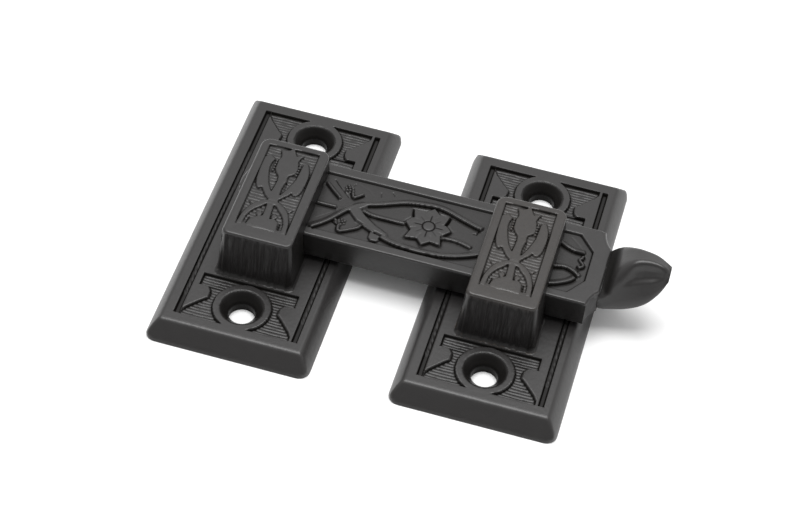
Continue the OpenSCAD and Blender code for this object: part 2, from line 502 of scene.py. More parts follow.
def plate_height(x, y):
    """Top of a mounting plate, with bevels, borders, hatched fields and rings."""
    ax = np.abs(x)
    along = Relief(x, y)
    side_groove(along)
    r = Relief(ax, np.abs(y))
    field = bow_tie()
    r.level(field, -RELIEF, 0.1)
    r.ribs(field, PLATE_HATCH, 0.12)
    r.groove([(2.4, FIELD_END - 0.07), (9.4, FIELD_END - 0.07)], 0.22, 0.12)
    r.groove([(4.2, 17.75), (8.3, 17.75)], 0.3, 0.16)
    from_hole = np.hypot(ax, np.abs(y) - HOLE_Y)
    collar = step((COLLAR_R - from_hole) / 0.16)
    r.h = r.h * (1 - collar)
    r.h -= 0.06 * step((SINK_R + 0.16 - from_hole) / 0.16)
    face = PLATE_T + r.h + along.h + 0.004 * waver(x * 0.6, y * 0.5)
    rise = PLATE_T - EDGE_LAND
    inwards = (PLATE_HALF_W - ax) / BEVEL_SIDE
    swell = 0.4 * np.clip(inwards, 0, 1) * np.clip(1 - inwards, 0, 1)
    side = EDGE_LAND + (inwards + swell) * rise
    end = EDGE_LAND + (PLATE_HALF_L - np.abs(y)) * rise / BEVEL_END
    slope = soft_min(side, end, 0.4)
    over_x = np.maximum(ax - PLATE_HALF_W + PLATE_CORNER_R, 0)
    over_y = np.maximum(np.abs(y) - PLATE_HALF_L + PLATE_CORNER_R, 0)
    to_edge = PLATE_CORNER_R - np.hypot(over_x, over_y)
    short = np.clip(RIM_R - to_edge, 0, RIM_R)
    drop = RIM_R - np.sqrt(RIM_R**2 - short**2)
    return soft_min(face, slope, 0.28) - drop + grain(x, y)


def soft_min(a, b, blend):
    """The smaller of two heights, with the crease between them rounded."""
    t = np.clip(0.5 + 0.5 * (b - a) / blend, 0, 1)
    return b + (a - b) * t - blend * t * (1 - t)


def round_corners(x, y, half_w, near, far, near_r, far_r):
    """Bends the corners of a rectangle of points into arcs."""
    top = y > (near + far) / 2
    radius = np.where(top, far_r, near_r)
    gap = np.where(top, far - y, y - near)
    a = np.clip((np.abs(x) - half_w + radius) / radius, 0, 1)
    b = np.clip(1 - gap / radius, 0, 1)
    corner = (a > 0) & (b > 0)
    bent_x = np.sign(x) * (half_w - radius + radius * a * np.sqrt(1 - b * b / 2))
    bend = radius * b * np.sqrt(1 - a * a / 2)
    bent_y = np.where(top, far - radius + bend, near + radius - bend)
    return np.where(corner, bent_x, x), np.where(corner, bent_y, y)


def rounded_rectangle(half_w, near, far, radius, steps=12):
    """Plan of a rectangle with round corners, counter-clockwise."""
    out = []
    corners = [(1, near + radius, 270), (1, far - radius, 0)]
    corners += [(-1, far - radius, 90), (-1, near + radius, 180)]
    for side, cy, start in corners:
        for a in np.radians(np.linspace(start, start + 90, steps + 1)):
            cx = side * (half_w - radius)
            out.append((cx + radius * math.cos(a), cy + radius * math.sin(a)))
    return out


# The flower at the far end of a hook's panel.
TULIP = [
    (-2.25, 7.6), (-1.3, 7.65), (-0.75, 7.9), (-0.25, 8.7), (0.25, 7.7), (0.75, 6.85),
    (1.25, 7.15), (2.05, 7.35), (1.6, 6.6), (1.38, 5.7), (1.62, 5), (1.82, 3.9), (1.75, 2.8),
    (1.25, 2.25), (0.85, 2), (0.72, 1.3), (0.9, 0.6), (0.68, 0), (0.58, -1.2), (0.62, -2.6),
    (0.9, -4.4), (-0.9, -4.4), (-0.95, -2.4), (-0.78, -0.9), (-0.72, 0.4), (-0.85, 1.4),
    (-1.5, 2.2), (-1.9, 3), (-1.92, 4.1), (-1.95, 5.1), (-1.7, 5.9), (-1.9, 6.7),
]

# The tall leaves beside the flower. The left one meets the border.
TALL_RIGHT = [
    (2.45, 5.4), (2.35, 4), (2.3, 2.6), (2.2, 1.5), (1.9, 0.3), (1.5, -1), (0.95, -2.3),
    (0.3, -3.4), (0.2, -4.6), (0.95, -3.8), (1.45, -3.1), (2.1, -2.4), (2.45, -1.7),
    (2.85, -2.15), (3.4, -2.1), (3.8, -1.4), (4, -0.4), (4.12, 1.2), (4.12, 2.6), (3.92, 3.8),
    (3.55, 4.8), (3.15, 5.7),
]
TALL_LEFT = [
    (-2.6, 5.2), (-2.9, 4.2), (-2.95, 3.1), (-2.7, 1.8), (-2.35, 0.5), (-1.85, -0.9),
    (-1.25, -1.9), (-0.6, -2.7), (0.2, -3.6), (0.2, -4.6), (-1, -4.05), (-1.7, -3.4),
    (-2.3, -2.5), (-2.75, -1.85), (-3.3, -2.2), (-3.65, -2), (-4, -1.2), (-4.3, 0),
    (-4.45, 2.5), (-4.45, 5.2), (-3.6, 5.9),
]

# The left one of the two leaves that arch down to the panel's near end.
LOW_LEAF = [
    (0.2, -5.1), (-0.9, -5.3), (-1.5, -6.1), (-2.3, -6.9), (-2.9, -7.85), (-3.3, -9),
    (-3.4, -10.4), (-3.45, -11.1), (-4.3, -11.1), (-4.25, -9.6), (-4.1, -8.5), (-3.65, -7.2),
    (-3.15, -6.1), (-2.3, -5.2), (-1.2, -4.45), (0.2, -4.1),
]

# The plain rise between the two arching leaves.
MOUND = [
    (-2.6, -11.1), (-2.75, -10.2), (-2.4, -9.3), (-1.6, -8.6), (-0.62, -8), (-0.62, -6.6),
    (-0.75, -5), (0.45, -5), (0.55, -6.6), (0.72, -8.4), (1.7, -8.3), (2.3, -8.8), (2.45, -9.8),
    (2.5, -11.1),
]

# The left one of the small torn leaves under the arching ones.
TORN = [(-1.95, -7.6), (-1.2, -7), (-0.85, -7.6), (-1, -8.3), (-1.4, -8.45)]


def panel_relief(x, y):
    """Relief on a hook's top: a flat border round a panel with a flower and leaves."""
    r = Relief(x, y)
    floor = -PANEL_RELIEF
    panel = [(-4.45, -11.15), (4.45, -11.15), (4.4, 8.4), (-4.55, 8.15)]
    r.level(panel, floor, 0.07)
    r.ribs(panel, PANEL_HATCH, 0.1)
    near_strip = [(-4.2, -11.7), (4.2, -11.7), (4.2, -10.6), (-4.2, -10.6)]
    r.level(near_strip, -0.05, 0.9)
    for side, tall in ((-1, TALL_LEFT), (1, TALL_RIGHT)):
        r.level(tall, -0.02, 0.08, crown=0.03)
        r.level(sided(LOW_LEAF, side), -0.02, 0.08, crown=0.03)
    r.level(MOUND, -0.03, 0.08, crown=0.03)
    r.level(TULIP, 0.0, 0.08, crown=0.03)
    for side, spot in ((-1, -2.25), (1, 1.95)):
        for k in range(5):
            r.dome((spot + 0.03 * (k % 2), 5.1 - 0.62 * k), 0.27, 0.3)
        r.level(sided(TORN, side), -0.08, 0.08, crown=0.03)
        r.groove([(side * 2.7, -8.9), (side * 2.8, -10.3)], 0.36, 0.18)
        r.groove([(side * 3.95, -5.2), (side * 3.5, -5.9), (side * 3.1, -6.1)], 0.34, 0.16)
        r.groove([(side * 0.95, 0.4), (side * 1.0, -0.9), (side * 0.9, -1.9)], 0.24, 0.08)
    r.groove([(-1.4, -11.2), (0.5, -11.05), (2.8, -11.3)], 0.28, 0.06)
    r.h += 0.006 * waver(x * 0.8 + 2, y * 0.7) + grain(x, y)
    return r.h


def hook_level(xs, ys, below):
    """Grid points of a hook's cross-section at some depth below its top."""
    fall = below / (HOOK_TOP - PLATE_T)
    foot = max(0.0, 1 - (HOOK_TOP - below - PLATE_T) / 0.8)
    fillet = FOOT_FILLET * (foot**2 if below < HOOK_TOP - PLATE_T else 1)
    half_w = HOOK_HALF_W + HOOK_FLARE * fall + fillet
    near = -HOOK_NEAR - HOOK_LEAN * fall - fillet
    crisp, broad = rounded_by(SOFT_EDGE, below), rounded_by(BROAD_EDGE, below)
    half = half_w - np.where(xs > 0, crisp, broad)
    near, far = near + crisp, HOOK_FAR - broad
    x = xs * half
    y = near + (ys + 1) / 2 * (far - near)
    radii = HOOK_CORNER_NEAR - crisp, HOOK_CORNER_FAR - broad
    return round_corners(x, y, half, near, far, *radii)


def rounded_by(edge, below):
    """How far a rounded edge stands back, at some depth below the top."""
    return edge - math.sqrt(max(0.0, edge**2 - max(0.0, edge - below) ** 2))


def hook_solid(name):
    """Post and arm as one draped shell: relief on top, ribs down the near face."""
    xs = spans((-1, 1, 0.0213))
    ys = spans((-1, 1, 0.0113))
    u, v = np.meshgrid(xs, ys)
    x, y = hook_level(u, v, 0.0)
    top = np.stack([x, y, HOOK_TOP + panel_relief(x, y)], -1).reshape(-1, 3)
    rim = rim_indices(len(xs), len(ys))
    ru, rv = u.ravel()[rim], v.ravel()[rim]
    depths = list(BROAD_EDGE * (1 - np.cos(np.radians([14, 28, 42, 55, 66, 78, 90]))))
    depths += list(np.linspace(BROAD_EDGE, HOOK_TOP - PLATE_T - 0.8, 13)[1:])
    depths += list(HOOK_TOP - PLATE_T - np.array([0.6, 0.42, 0.27, 0.13, 0.0, -1.2]))
    points, faces = [top], grid_faces(len(xs), len(ys))
    upper, start = rim, len(top)
    for below in depths:
        x, y = hook_level(ru, rv, below)
        wide = step((below - 0.25) / 1.2) * step((6.5 - np.abs(x)) / 0.8)
        y = y + near_ribs(x, below) * wide * (rv < -0.97)
        points.append(np.column_stack([x, y, np.full(len(x), HOOK_TOP - below)]))
        lower = list(range(start, start + len(rim)))
        faces += ring_faces(upper, lower)
        upper, start = lower, start + len(rim)
    faces.append(upper[::-1])
    return make(name, np.vstack(points), faces)


def near_ribs(x, below):
    """Uneven upright ribs on the post's near face, cut inwards."""
    drift = 0.1 * np.sin(below * 0.8 + x)
    wave = 0.5 * np.sin(2 * np.pi * (x + drift) / 1.02)
    wave += 0.45 * np.sin(2 * np.pi * (x - drift) / 1.63 + 1.1)
    wave += 0.2 * np.sin(2 * np.pi * x / 0.63 + 0.3 * below)
    return 0.17 * np.clip(0.8 + wave, 0, 1.7)


def slot_tool():
    """The opening under the arm, with a small fillet where it meets the post."""
    r = SLOT_FILLET
    arc = np.radians(np.linspace(180, 90, 5))
    side = [(POST_FAR + r + r * math.cos(a), ARM_Z - r + r * math.sin(a)) for a in arc]
    profile = [(POST_FAR, -3.0), *side, (HOOK_FAR + 3, ARM_Z), (HOOK_FAR + 3, -3.0)]
    half = HOOK_HALF_W + 4
    ends = [[(s * half, y, z) for y, z in profile] for s in (-1, 1)]
    count = len(profile)
    faces = [list(range(count)), list(range(2 * count - 1, count - 1, -1))]
    for k in range(count):
        n = (k + 1) % count
        faces.append([k, count + k, count + n, n])
    return make("slot_tool", np.vstack(ends), faces)


def casting(name, centre_x):
    """A plate and its hook as one closed solid, with its two screw holes."""
    side_zones = [(PLATE_HALF_W - 0.5, 0.12), (11.9, 0.26), (9.6, 0.1)]
    xs = mirrored_spans(PLATE_HALF_W + 0.7, side_zones, 0.16)
    end_zones = [(PLATE_HALF_L - 0.5, 0.12), (25.7, 0.35), (14.8, 0.115)]
    ys = mirrored_spans(PLATE_HALF_L + 0.7, end_zones, 0.26)
    plate = slab(name, xs, ys, plate_height, -2.0)
    outline = rounded_rectangle(PLATE_HALF_W, -PLATE_HALF_L, PLATE_HALF_L, PLATE_CORNER_R)
    blank = stack("blank", [at_height(outline, z) for z in (5, 0.4, 0.2, 0)])
    combine(plate, blank, "INTERSECT")
    hook = combine(hook_solid("hook"), slot_tool(), "DIFFERENCE")
    combine(plate, hook, "UNION")
    for side in (-1, 1):
        throat = PLATE_T - (SINK_R - HOLE_R) / SINK_SLOPE
        profile = [(SINK_R + SINK_SLOPE, PLATE_T + 1), (HOLE_R, throat), (HOLE_R, -1)]
        hole = turned("hole", profile, (0, side * HOLE_Y))
        combine(plate, hole, "DIFFERENCE")
    plate.data.transform(Matrix.Translation((centre_x * MM, 0, 0)))
    return plate


def plate_values(obj, centre_x, rubbed):
    """Painted shade and grime in the hollows, painted shade on the sunk ground, the grooves and the shaded walls,
    and a rubbed hook top.
    """
    p = coordinates(obj)
    x, y, z = p[:, 0] - centre_x, p[:, 1], p[:, 2]
    reach = (PLATE_HALF_W, PLATE_HALF_L)
    plate_map = HollowShade(plate_height, (-reach[0], -reach[1]), reach)
    panel_map = HollowShade(panel_relief, (-5.4, -12.4), (5.4, 9.0))
    flat = (np.abs(x) < 11.7) & (np.abs(y) < 26.7) & (z < PLATE_T + 0.05)
    on_plate = flat & (z > PLATE_T - 0.75)
    on_panel = (np.abs(x) < 5.4) & (y > -12.4) & (y < 9.0) & (z > HOOK_TOP - 0.8)
    hollow = np.where(on_plate, plate_map.at(x, y), 0)
    # Painted shade along the two side grooves.
    to_groove = np.minimum(np.abs(x - GROOVE_X[0]), np.abs(x - GROOVE_X[1]))
    groove_shade = 0.42 * flat * step((GROOVE_HALF_W + 0.12 - to_groove) / 0.15)
    groove_shade = groove_shade * (np.abs(y) < FIELD_END + 0.05)
    hollow = np.maximum(hollow, groove_shade)
    hollow = np.where(on_panel, panel_map.at(x, y), hollow)
    give(obj, "hollow", hollow)
    # Painted shade on the sunk ground: the deeper it lies, the darker.
    sunk = np.where(flat, (PLATE_T - 0.05 - z) / 0.5, 0)
    sunk = np.where(on_panel, (HOOK_TOP - 0.05 - z) / 0.5, sunk)
    give(obj, "sunk_shade", np.clip(sunk, 0, 1))
    post = (z < ARM_Z + 2.2) & (z > PLATE_T + 0.05) & (y < POST_FAR + 0.1)
    hole = (np.hypot(x, np.abs(y) - HOLE_Y) < SINK_R + 0.12) & (z < PLATE_T + 0.05)
    flank = (z > PLATE_T + 0.3) & (z < HOOK_TOP - 0.3) & (x > 5.6)
    shade = np.where(post, 1.0, np.where(hole, 2.4, 0.0))
    give(obj, "shade", np.maximum(shade, 2.2 * flank))
    give(obj, "rubbed", rubbed * step((z - HOOK_TOP + 0.9) / 0.5))


# ---- swinging bar


def cove(side):
    """The hollow corner of the bar's end, as points from the long edge inwards."""
    chord = np.array([COVE_BACK, -COVE_IN])
    length = np.linalg.norm(chord)
    away = np.array([COVE_IN, COVE_BACK]) / length
    corner = np.array([BAR_REACH, BAR_HALF_W - COVE_IN])
    centre = corner - chord / 2 + away * math.sqrt(COVE_R**2 - length**2 / 4)
    start = corner - chord
    a0 = math.atan2(*(start - centre)[::-1]) % (2 * math.pi)
    a1 = math.atan2(*(corner - centre)[::-1]) % (2 * math.pi)
    angles = np.linspace(a0, a1, 12)
    arc = [centre + COVE_R * np.array([math.cos(a), math.sin(a)]) for a in angles]
    return [(u, side * v) for u, v in arc]


def bar_outline():
    """Plan of the bar, counter-clockwise, from the pivot end round."""
    turn = np.radians(np.linspace(90, 270, 73))
    left = [(BAR_HALF_W * math.cos(a), BAR_HALF_W * math.sin(a)) for a in turn]
    near = [(u, -BAR_HALF_W) for u in np.linspace(4, BAR_REACH - COVE_BACK - 1, 14)]
    far = [(u, -v) for u, v in near[::-1]]
    end = [(BAR_REACH, v) for v in np.linspace(-4.2, 4.2, 9)]
    return left + near + cove(-1) + end + cove(1)[::-1] + far


def field_outline():
    """Edge of the sunk field on the bar: square at the pivot, eight-sided at the end."""
    edge = [(4.2, -6.95), (50.7, -6.95), (53.1, -3.55), (53.1, 3.15)]
    return edge + [(50.3, 6.42), (4.2, 6.42)]


def canes(r, floor):
    """Two canes that bow apart along the bar and cross near the hooks."""
    rising = [(6.2, -6.7), (6.7, -6.2), (7.5, -5.5), (8.7, -4.2), (9.6, -3)]
    rising += [(10.5, -1.7), (11.4, -0.6), (12.5, 0.35), (13.7, 1)]
    arch = [(15.5, 1.65), (17, 2.3), (18.5, 3), (20, 3.6), (22, 4.05)]
    arch += [(24, 4.3), (25.2, 4.35), (26.5, 4.2), (28, 3.75), (30, 3)]
    arch += [(32.4, 2.2), (33.6, 1.9)]
    bow = [(17.9, -5.4), (19.4, -5.9), (21, -6.2), (23, -6.4), (25, -6.45)]
    bow += [(27, -6.35), (29, -6.1), (31, -5.55), (33, -4.75), (34.6, -3.9)]
    bow += [(36.4, -2.6), (38.6, -0.5)]
    far_end = mirrored(rising[:7], BAR_MIDDLE)[::-1]
    for line, back in ((bow, 1.5), (rising + arch, 1.4), (far_end, 1.2)):
        r.lip(glide(line), 0.0, floor - 0.04, back)
    joint = [(10.9, -0.7), (12, 0.7), (13.9, 1.45), (13.8, 0.75), (12.95, 0)]
    joint += [(14.2, -1.3), (16.4, -2.9), (18.8, -4.1), (18.6, -4.9), (16.5, -4.3)]
    joint += [(14.4, -3.4), (12.8, -2.75), (11.35, -1.3)]
    r.level(joint, -0.05, 0.3)


PETALS = [
    (0, 4.35), (1.1, 3.3), (3, 3.3), (2.6, 1.35), (4, 0.05), (2.5, -1.55), (3, -3.6),
    (1.1, -3.3), (-0.2, -4.4), (-1.2, -3.25), (-3.4, -3.55), (-2.8, -1.55), (-4.1, 0),
    (-2.95, 1.5), (-3.4, 3.2), (-1.1, 3.3),
]


def flower_lines(du, dv):
    """Nearness to the petals' creases, the valleys between them and the button's rim."""
    gap, angle = np.hypot(du, dv), np.arctan2(dv, du)
    eighth = math.pi / 4
    from_tip = (angle + eighth / 2) % eighth - eighth / 2
    crease = np.exp(-((from_tip * gap / 0.16) ** 2))
    crease = crease * np.where(np.abs(np.sin(2 * angle)) < 0.7, 1.0, 0.6)
    crease = crease * step((gap - 1.0) / 0.3) * step((3.0 - gap) / 0.8)
    from_valley = eighth / 2 - np.abs(from_tip)
    valley = np.exp(-((from_valley * gap / 0.16) ** 2)) * step((gap - 1.9) / 0.5)
    return crease, valley, np.exp(-(((gap - 1.08) / 0.19) ** 2))


def flower(r):
    """An eight-petalled flower with a round button."""
    here = r.near([FLOWER_AT], 5.4)
    du, dv = r.x[here] - FLOWER_AT[0], r.y[here] - FLOWER_AT[1]
    gap = np.hypot(du, dv)
    outline = np.array(PETALS, float)
    d, _ = nearest(du, dv, np.vstack([outline, outline[:1]]))
    d = np.where(inside(du, dv, outline), d, -d)
    crease, valley, ring = flower_lines(du, dv)
    petal = -0.02 - 0.012 * gap - 0.03 * crease - 0.05 * ring - 0.04 * valley
    w = step(d / 0.22 + 0.5)
    r.h[here] -= 0.12 * np.exp(-(((d + 0.24) / 0.16) ** 2)) * (gap < 5.2)
    r.h[here] = r.h[here] * (1 - w) + petal * w
    cap = -0.05 + 0.06 * np.sqrt(np.clip(1 - (gap / BUTTON_R) ** 2, 0, 1))
    r.h[here] = np.where(gap < BUTTON_R, np.maximum(cap, r.h[here]), r.h[here])


def berries(r, centre, spin):
    """A cluster of small round berries."""
    rows = ((0, 0), (0.55, 0.1), (-0.5, 0.15), (0.1, 0.55), (-0.25, -0.5))
    rows += ((0.4, -0.45), (0.65, 0.62), (-0.45, 0.7), (0.1, 1.05), (-0.8, -0.3))
    c, s = math.cos(spin), math.sin(spin)
    for a, b in rows:
        spot = (centre[0] + a * c - b * s, centre[1] + a * s + b * c)
        r.dome(spot, 0.27, 0.3)


def crossing_details(r, floor, flip):
    """Leaves, twigs, berries and cuts around one crossing of the canes."""
    turn = (lambda q: mirrored(q, BAR_MIDDLE)[::-1]) if flip else (lambda q: q)
    spot = (lambda q: mirrored([q], BAR_MIDDLE)[0]) if flip else (lambda q: q)
    low = floor - 0.02
    r.lip(turn([(5.4, -1.07), (7, -1.09), (8.6, -1.07)]), -0.02, low, back=0.9)
    r.lip(turn([(5.6, 3.95), (7.2, 2.45), (8.6, 1.25)]), -0.02, low, back=0.8)
    leaf = [(10.05, -4.6), (10.05, -5.2), (10.25, -6.05), (10.9, -6.25), (12, -5.7)]
    leaf += [(13.2, -4.9), (13.85, -4.4), (14.1, -3.8)]
    r.lip(turn(leaf), -0.02, low, back=0.7)
    twig = [(10.35, 3), (10.65, 2.2), (11.15, 1.95), (11.8, 2.5), (12.5, 3.2)]
    r.lip(turn(twig), -0.02, low, back=0.6, drop=0.3)
    r.groove(glide(turn([(6.8, 5.4), (8.0, 4.1), (9.3, 2.9), (10.2, 2.1)]), 4), 0.27, 0.15)
    r.groove(glide(turn([(11.0, 5.6), (12.8, 4.9), (14.2, 3.7)]), 4), 0.27, 0.03)
    r.groove(turn([(10.5, 5.5), (10.2, 4.8)]), 0.27, 0.13)
    r.groove(turn([(11.2, -1.3), (12.7, -2.8)]), 0.36, 0.1)
    r.groove(turn([(8.8, -1.5), (7.6, -2.8), (6.2, -4.1)]), 0.3, 0.03)
    r.groove(turn([(9.0, -4.1), (9.6, -4.5), (10.1, -4.7)]), 0.4, 0.24)
    berries(r, spot((9.9, 3.8)), 2.2 if flip else 0.6)
    berries(r, spot((10.2, -4.0)), 3.4 if flip else -0.9)


def end_leaves(r, floor):
    """Leaf tips in the eight-sided end of the field."""
    low = floor - 0.04
    upper = [(45.8, 4.7), (47, 3.7), (48, 3.12), (49, 2.67), (50.1, 2.37)]
    upper += [(51.6, 2.32)]
    middle = [(45.8, -2.8), (47, -2.2), (48.2, -1.85), (49.2, -1.7), (50.2, -1.95)]
    middle += [(51.0, -2.4), (51.65, -2.9)]
    lower = [(45.8, -6.5), (47.2, -6.2), (48.4, -5.8), (49.4, -5.3), (50.3, -4.75)]
    lower += [(51.0, -4.15), (51.45, -3.55)]
    for line, back in ((upper, 1.2), (lower, 1.3), (middle, 1.1)):
        r.lip(glide(line), 0.0, low, back)
    torn = [(51.2, -0.8), (51.6, -1.15), (52.2, -0.7), (52.35, -0.15), (51.95, 0.4)]
    torn += [(51.5, 0.85), (51.8, 1.1), (51.9, 1.7)]
    r.lip(torn, -0.04, low, back=0.6, drop=0.3)
    r.groove([(51.5, -1.4), (51.6, -2.3), (51.8, -2.9)], 0.28, 0.14)
    r.groove(glide([(49.0, 5.5), (50.4, 4.2), (51.4, 2.9)]), 0.5, 0.05)


def bar_relief(u, v):
    """Relief on the bar's top. The first axis runs from the pivot to the end."""
    r = Relief(u, v)
    floor = -RELIEF
    field = field_outline()
    r.level(field, floor + 0.06, 0.15)
    near_strip = step((v + 7.2) / 0.2) * step((-6.6 - v) / 0.5)
    r.h -= r.h * 0.85 * near_strip
    r.h += 0.035 * np.exp(-(((v - 7.0) / 0.22) ** 2)) * step((50.6 - u) / 0.5)
    left_rib = [(13.4, -0.55), (14, -0.8), (15, -1.05), (17, -1.12), (20.8, -1.1)]
    right_rib = [(27.9, -2.2), (29.4, -2.05), (31, -2.2), (32.8, -2.7)]
    r.lip(glide(left_rib), 0.0, floor, back=1.1)
    r.lip(glide(right_rib), -0.08, floor, back=1.1)
    r.lip([(14.2, -3.75), (15, -4.05), (16.2, -4.65)], 0, floor, back=0.9)
    knob = [(15.85, -4.6), (17.75, -5), (17.85, -5.9), (17.45, -6.4), (16.4, -6.45)]
    r.level([*knob, (15.85, -5.9)], -0.05, 0.12)
    canes(r, floor)
    for flip in (False, True):
        crossing_details(r, floor, flip)
    r.groove(glide([(12.7, 0.0), (13.4, -0.6), (14.2, -1.1)]), 0.3, 0.1)
    for nick in ([(15.2, 4.9), (15.45, 4.0)], [(17.1, 5.6), (17.6, 5.0)]):
        r.groove(nick, 0.27, 0.14)
    r.groove([(32.7, 0.85), (33.25, 0.9), (33.4, 1.7)], 0.3, 0.2)
    flower(r)
    r.groove([(21.55, 3.1), (21.75, 2.0), (22.05, 1.2)], 0.42, 0.26)
    r.groove([(28.1, 3.0), (27.95, 1.9), (27.65, 1.0)], 0.46, 0.3)
    end_leaves(r, floor)
    r.h += 0.006 * waver(u * 0.5 + 1, v * 0.6) + grain(u, v)
    return r.h


def bar_height(u, v):
    """Top of the bar, with its outer edge rounded."""
    ring = np.array(bar_outline())
    gap = np.full(u.shape, 9.0)
    rim = (np.abs(v) > BAR_HALF_W - 0.7) | (u < 3) | (u > BAR_REACH - 3)
    near_edge, _ = nearest(u[rim], v[rim], np.vstack([ring, ring[:1]]))
    within = inside(u[rim], v[rim], ring)
    gap[rim] = np.where(within, near_edge, -near_edge)
    at_cove = step((u - BAR_REACH + 2.8) / 1.2) * step((v - 4.2) / 1.0)
    soft = SOFT_EDGE + 0.14 * step(v / 2) + 0.3 * at_cove
    short = np.clip(soft - gap, 0, soft)
    drop = soft - np.sqrt(np.clip(soft**2 - short**2, 0, None))
    return BAR_TOP + bar_relief(u, v) - drop


def lever_stations():
    """Sections of the thumb lever: distance from the pivot, then four corners."""
    end, crest, half = BAR_REACH, CREST, NECK_HALF_W
    return np.array([
        [(end - 1.5, 0), (-half, 0.6), (-half, 5.2), (4.9, 3.4), (half, 0.1)],
        [(end + 0.6, 0), (-5.4, 0.5), (-4.4, 4.9), (5.8, 5.7), (5, 0.3)],
        [(end + 2.2, 0), (-5.4, 0.6), (-2.8, 8.0), (5.2, 7.5), (3.6, 0.5)],
        [(end + 4.2, 0), (-5.1, 1.1), (-1.4, 9.8), (4.3, 8.7), (1.6, 0.9)],
        [(end + 6.2, 0), (-4.6, 2), (-0.7, 10.3), (3.6, 9.1), (0.2, 1.5)],
        [(end + 8.1, 0), (-4.0, 3.4), (-0.6, crest), (2.9, 9.2), (0.2, 2.8)],
        [(end + 9.7, 0), (-2.8, 5.4), (-0.7, crest - 0.4), (1.8, 9.2), (0.2, 4.8)],
        [(LEVER_TIP, 0), (-1.7, 7.7), (-0.6, 8.8), (0.7, 9.5), (0.1, 7.4)],
    ])


def lever_section(station, hollow, shoulder):
    """One rounded section, with a hollow for the thumb on its near side."""
    corners = station[1:]
    steps = 8
    ring = []
    shares = (0.27, shoulder, 0.27, 0.27)
    for k, flat in enumerate((28, 16, 8, 8)):
        before, at, after = corners[k - 1], corners[k], corners[(k + 1) % 4]
        start, end = at + (before - at) * shares[k], at + (after - at) * shares[k]
        for t in np.arange(steps) / steps:
            ring.append(start * (1 - t) ** 2 + at * 2 * t * (1 - t) + end * t**2)
        following = after + (at - after) * shares[(k + 1) % 4]
        for t in np.arange(flat) / flat:
            ring.append(end * (1 - t) + following * t)
    ring = np.array(ring)
    ring = pressed(ring, corners[0], corners[1], hollow, (0.54, 0.13), (0.99, 0.2))
    return np.column_stack([np.full(len(ring), station[0, 0]), ring])


def pressed(ring, start, end, depth, first, last):
    """Presses one side of a section inwards between two soft limits."""
    side = end - start
    length = np.linalg.norm(side)
    inward = np.array([side[1], -side[0]]) / length
    t = (ring - start) @ side / length**2
    off = (ring - start) @ inward
    close = np.exp(-((off / 0.6) ** 2))
    dip = step((t - first[0]) / first[1]) * step((last[0] - t) / last[1])
    return ring + inward * (depth * close * dip)[:, None]


def lever_solid():
    """The thumb lever, lofted through its sections."""
    stations = lever_stations()
    flat = stations.reshape(len(stations), -1)
    fine = glide(flat, 9)
    loops = []
    for k, row in enumerate(fine):
        along = k / (len(fine) - 1)
        hollow = 0.45 * step((along - 0.36) / 0.16) * step((0.9 - along) / 0.2)
        shoulder = 0.4 - 0.2 * step((along - 0.2) / 0.3)
        loops.append(lever_section(row.reshape(-1, 2), hollow, shoulder))
    tip = loops[-1]
    middle = tip.mean(0)
    for share in (0.75, 0.4):
        loops.append(middle + (tip - middle) * share)
    loops = [loop + np.array([0, 0, BAR_Z]) for loop in loops[::-1]]
    return stack("lever", loops)


def bar_solid(name):
    """The bar and its lever as one closed solid, with the bore."""
    low, high = -BAR_HALF_W - 0.4, BAR_HALF_W + 0.4
    us = [(low - 0.2, 4, 0.24), (4, 34.5, 0.12), (34.5, 46.5, 0.15)]
    us = spans(*us, (46.5, BAR_REACH + 0.7, 0.12))
    vs = spans((low, -8, 0.09), (-8, 6.7, 0.125), (6.7, 8, 0.25), (8, high, 0.09))
    bar = slab(name, us, vs, bar_height, BAR_Z - 1)
    outline = bar_outline()
    levels = [(BAR_TOP + 1, 0), (BAR_TOP - 0.2, 0), (BAR_TOP - 0.6, 0)]
    levels += [(BAR_Z + 0.4, 0), (BAR_Z + 0.12, 0.12), (BAR_Z, 0.38)]
    blank = stack("blank", [at_height(outline, z, inset) for z, inset in levels])
    combine(bar, blank, "INTERSECT")
    combine(bar, lever_solid(), "UNION")
    combine(bar, turned("bore", [(BORE_R, BAR_TOP + 1), (BORE_R, BAR_Z - 1)]), "DIFFERENCE")
    bar.data.transform(Matrix.Translation((PIVOT[0] * MM, PIVOT[1] * MM, 0)))
    return bar


